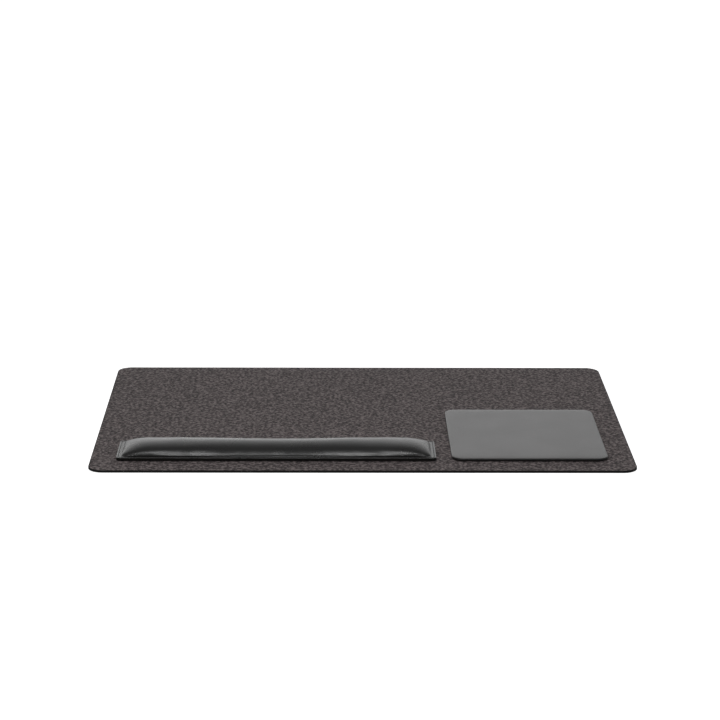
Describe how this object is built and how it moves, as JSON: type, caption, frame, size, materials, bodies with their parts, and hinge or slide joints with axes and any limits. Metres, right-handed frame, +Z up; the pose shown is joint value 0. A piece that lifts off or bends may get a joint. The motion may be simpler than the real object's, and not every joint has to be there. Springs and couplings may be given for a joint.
{
  "type": "desk mat set",
  "caption": "Wide felt desk mat with rubber backing and rounded corners, with a loose padded leather wrist rest and a loose leather mouse pad in a row along its front.",
  "frame": {"origin": "middle of the mat's underside, on the surface that it lies on", "axes": "+X to the right along the mat's long side, +Y to its back edge, +Z up; the wrist rest and mouse pad lie along the front edge, at -Y"},
  "size_m": [0.79, 0.53, 0.0235],
  "materials": {
    "felt": "matte",
    "backing_rubber": "matte",
    "cover_leather": "satin",
    "lining_leather": "matte",
    "leatherboard": "matte",
    "foam": "matte",
    "grip_rubber": "matte",
    "thread": "satin"
  },
  "bodies": {
    "mat": {"felt_top": "felt", "rubber_backing": "backing_rubber"},
    "wrist_rest": {"wrist_rest_cover": "cover_leather", "wrist_rest_foam": "foam", "wrist_rest_board": "leatherboard", "wrist_rest_underside": "lining_leather", "wrist_rest_grip_sheet": "grip_rubber", "wrist_rest_top_stitching": "thread", "wrist_rest_under_stitching": "thread"},
    "mouse_pad": {"mouse_pad_cover": "cover_leather", "mouse_pad_core": "foam", "mouse_pad_base": "grip_rubber"}
  },
  "joints": [
    {"name": "wrist_rest_lift", "type": "slide", "parent": "mat", "child": "wrist_rest", "axis": [0, 0, 1], "range_m": [0, 0.06]},
    {"name": "mouse_pad_lift", "type": "slide", "parent": "mat", "child": "mouse_pad", "axis": [0, 0, 1], "range_m": [0, 0.06]}
  ]
}
